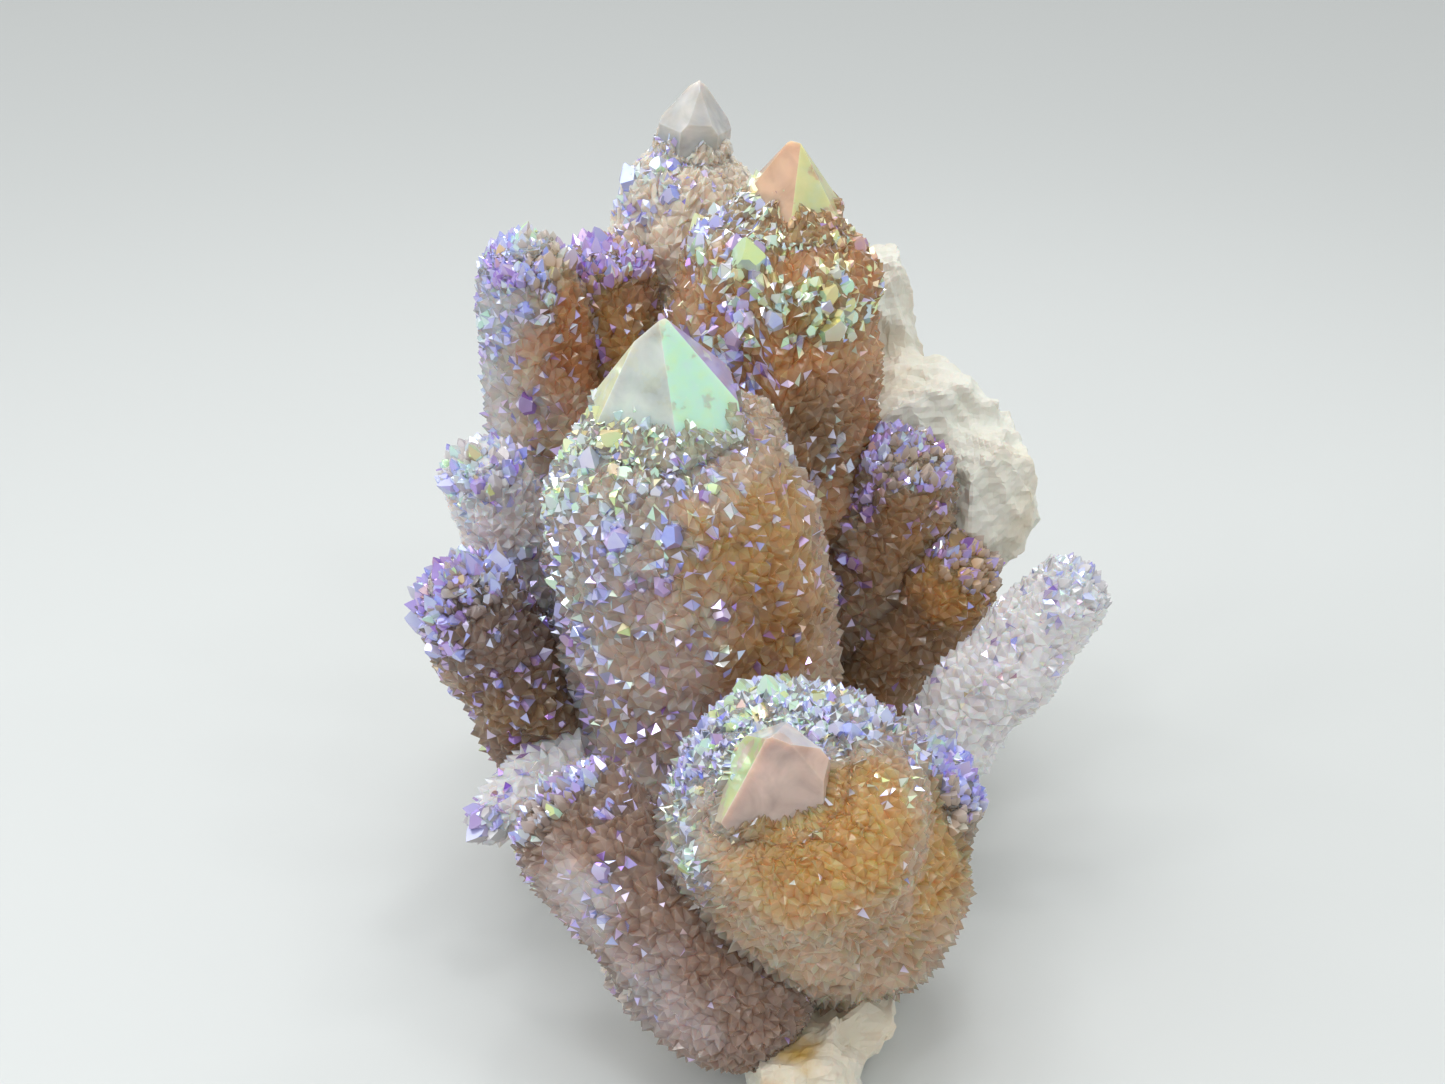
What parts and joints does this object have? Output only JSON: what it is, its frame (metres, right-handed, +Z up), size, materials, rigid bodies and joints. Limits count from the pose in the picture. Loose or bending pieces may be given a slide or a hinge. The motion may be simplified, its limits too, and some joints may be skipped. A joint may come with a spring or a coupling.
{
  "type": "aura spirit quartz cluster",
  "caption": "Cluster of candle-shaped spirit quartz points with iridescent druse crusts, grown together on a white quartz stone with a flat cut underside.",
  "frame": {"origin": "middle of the cluster's footprint, at the level that it rests on", "axes": "+Z up, -Y towards the viewer with the front point's smooth termination, +X to the side point"},
  "size_m": [0.0478, 0.0626, 0.0542],
  "materials": {
    "milky_stone": "granular white milky quartz with cream and rusty stains, dull broken faces",
    "coated_quartz": "translucent golden brown to mauve quartz under a thin lilac, blue, mint and yellow iridescent film, glassy facets",
    "pale_quartz": "translucent pale lilac quartz with fine glassy druse"
  },
  "bodies": {
    "root": {"matrix": "milky_stone", "crystal_cluster": "coated_quartz", "side_point": "pale_quartz"}
  },
  "joints": []
}
